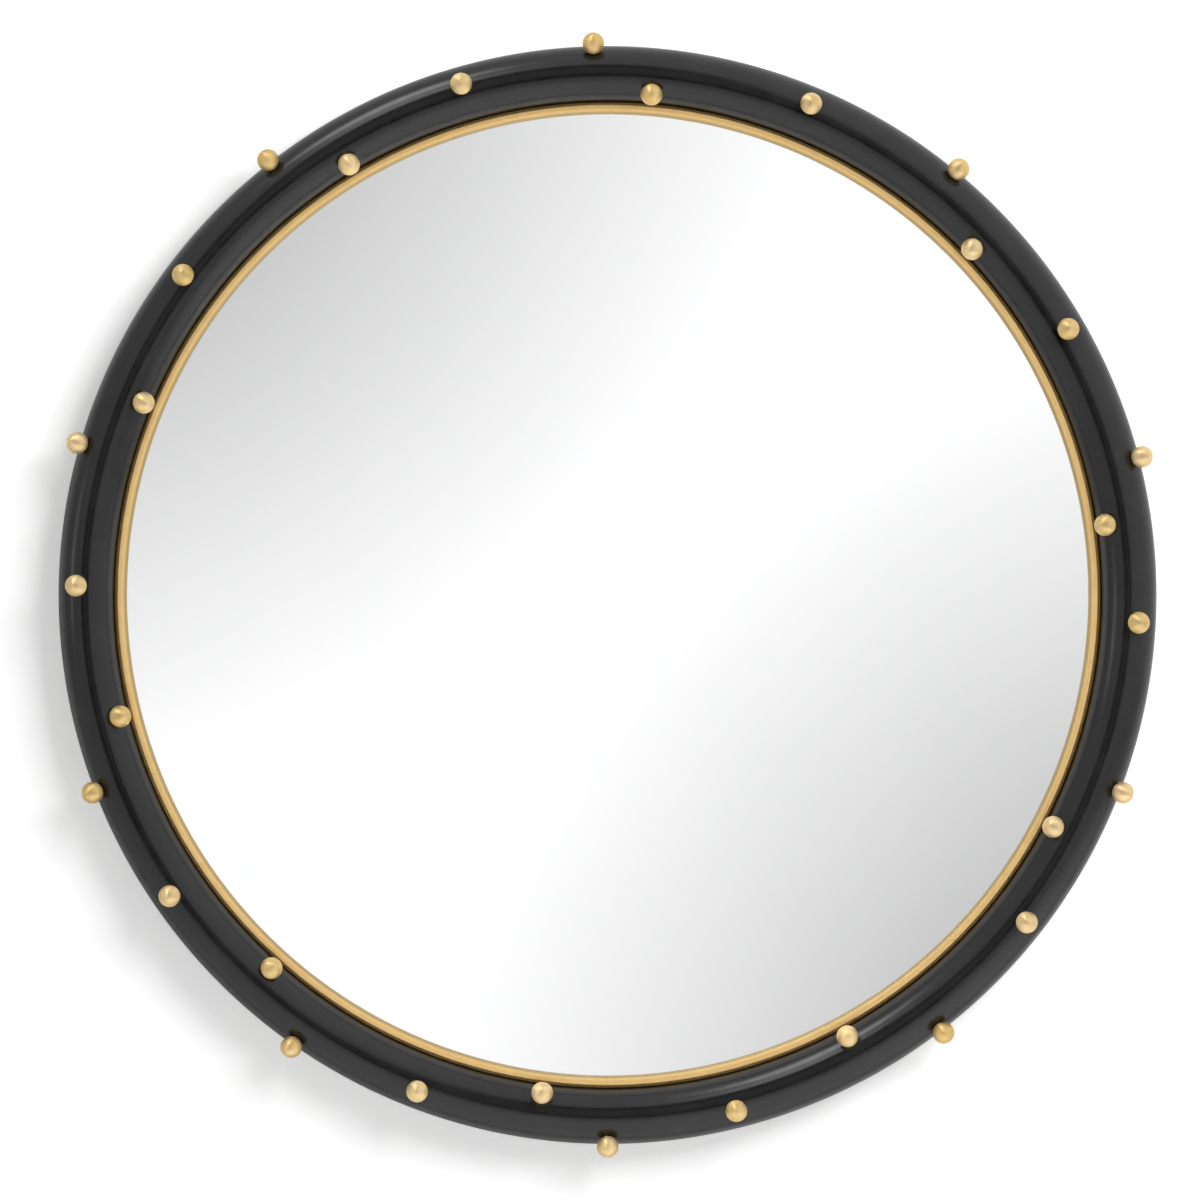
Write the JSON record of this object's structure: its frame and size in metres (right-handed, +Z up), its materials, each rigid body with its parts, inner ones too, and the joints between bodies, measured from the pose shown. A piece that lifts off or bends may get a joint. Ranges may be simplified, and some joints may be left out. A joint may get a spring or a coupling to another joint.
{
  "type": "round wall mirror",
  "caption": "Round wall mirror: flat silvered glass in a black half-round ring moulding dotted with brass balls and lined with brass, hung on two swinging rings.",
  "frame": {"origin": "centre of the back panel's rear face, on the mirror's axis; the wall is 8 mm behind it", "axes": "+Z up, +X to the right seen from the front, +Y from the glass to the wall; the glass faces -Y"},
  "size_m": [0.9139, 0.0684, 0.933],
  "materials": {
    "black_lacquer": "satin black lacquer over turned wood",
    "brass_trim": "satin brass",
    "brass_ball": "fine turned satin brass",
    "silvered_glass": "polished, silvered at the back",
    "foam": "closed-cell foam",
    "fibreboard": "bare medium-density fibreboard",
    "zinc_steel": "bright zinc plate",
    "zinc_wire": "bright zinc plated wire",
    "bumper_rubber": "matt moulded rubber"
  },
  "bodies": {
    "mirror": {"frame_ring": "black_lacquer", "brass_liner": "brass_trim", "mirror_glass": "silvered_glass", "cushion_pads": "foam", "back_panel": "fibreboard", "panel_screws": "zinc_steel", "ball_outer_01": "brass_ball", "ball_outer_02": "brass_ball", "ball_outer_03": "brass_ball", "ball_outer_04": "brass_ball", "ball_outer_05": "brass_ball", "ball_outer_06": "brass_ball", "ball_outer_07": "brass_ball", "ball_outer_08": "brass_ball", "ball_outer_09": "brass_ball", "ball_outer_10": "brass_ball", "ball_middle_01": "brass_ball", "ball_middle_02": "brass_ball", "ball_middle_03": "brass_ball", "ball_middle_04": "brass_ball", "ball_middle_05": "brass_ball", "ball_middle_06": "brass_ball", "ball_middle_07": "brass_ball", "ball_middle_08": "brass_ball", "ball_middle_09": "brass_ball", "ball_middle_10": "brass_ball", "ball_inner_01": "brass_ball", "ball_inner_02": "brass_ball", "ball_inner_03": "brass_ball", "ball_inner_04": "brass_ball", "ball_inner_05": "brass_ball", "ball_inner_06": "brass_ball", "ball_inner_07": "brass_ball", "ball_inner_08": "brass_ball", "ball_inner_09": "brass_ball", "ball_inner_10": "brass_ball", "ball_pins": "zinc_steel", "hanger_strap_left": "zinc_steel", "hanger_strap_right": "zinc_steel", "hanger_screws": "zinc_steel", "bumper_left": "bumper_rubber", "bumper_right": "bumper_rubber"},
    "ring_left": {"hanger_ring_left": "zinc_wire"},
    "ring_right": {"hanger_ring_right": "zinc_wire"}
  },
  "joints": [
    {"name": "hanger_ring_left_swing", "type": "hinge", "parent": "mirror", "child": "ring_left", "pos_m": [-0.38495, 0.0034, 0.20042], "axis": [-1, 0, 0], "range_deg": [0, 178]},
    {"name": "hanger_ring_right_swing", "type": "hinge", "parent": "mirror", "child": "ring_right", "pos_m": [0.38495, 0.0034, 0.20042], "axis": [-1, 0, 0], "range_deg": [0, 178]}
  ]
}
